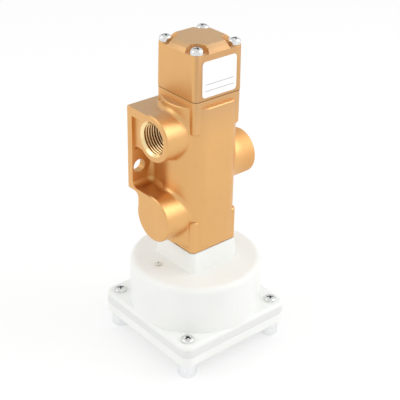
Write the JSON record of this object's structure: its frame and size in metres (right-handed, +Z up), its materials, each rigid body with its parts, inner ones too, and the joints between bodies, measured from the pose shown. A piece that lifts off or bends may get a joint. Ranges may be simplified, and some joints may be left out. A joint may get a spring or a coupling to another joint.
{
  "type": "automatic drain valve",
  "caption": "Diaphragm-operated poppet valve: bronze body with threaded ports and a side mounting plate, on a round pilot housing with a square flange and feet.",
  "frame": {"origin": "where the stem axis meets the plane of the four feet", "axes": "+Z up along the stem axis; -Y the way the inlet looks, +Y the way the outlet looks; -X the way the mounting plate faces; +X the label side"},
  "size_m": [0.0856, 0.0856, 0.2043],
  "materials": {
    "bronze_casting": "shot-blasted bronze casting, satin",
    "pale_casting": "near-white painted die casting",
    "zinc": "bright zinc plate",
    "stainless": "turned stainless steel",
    "turned_brass": "turned brass",
    "spring_steel": "spring wire",
    "black_rubber": "nitrile rubber",
    "gasket_sheet": "dark brown gasket sheet",
    "label_white": "white printed film, bare but for plain ruled lines"
  },
  "bodies": {
    "valve": {"foot_nuts": "zinc", "base_screws": "zinc", "bottom_cover": "pale_casting", "diaphragm": "black_rubber", "diaphragm_housing": "pale_casting", "breather": "turned_brass", "housing_screws": "zinc", "housing_gasket": "gasket_sheet", "valve_body": "bronze_casting", "guide_bush": "turned_brass", "stem_seal": "black_rubber", "seal_retainer": "stainless", "seat_insert": "stainless", "seat_o_ring": "black_rubber", "cap": "bronze_casting", "cap_gasket": "gasket_sheet", "cap_o_ring": "black_rubber", "cap_screws": "zinc", "label_plate": "label_white", "piston_liner": "turned_brass", "return_spring": "spring_steel"},
    "stem_train": {"stem": "stainless", "poppet_washer": "stainless", "poppet_seal": "black_rubber", "poppet": "turned_brass", "balance_piston": "turned_brass", "piston_o_ring": "black_rubber", "piston_nut": "zinc", "upper_diaphragm_plate": "zinc", "lower_diaphragm_plate": "zinc", "diaphragm_nut": "zinc"}
  },
  "joints": [
    {"name": "stem_slide", "type": "slide", "parent": "valve", "child": "stem_train", "axis": [0, 0, 1], "range_m": [0, 0.005], "stiffness_N_per_m": 18000, "deforming": ["return_spring", "diaphragm"]}
  ]
}
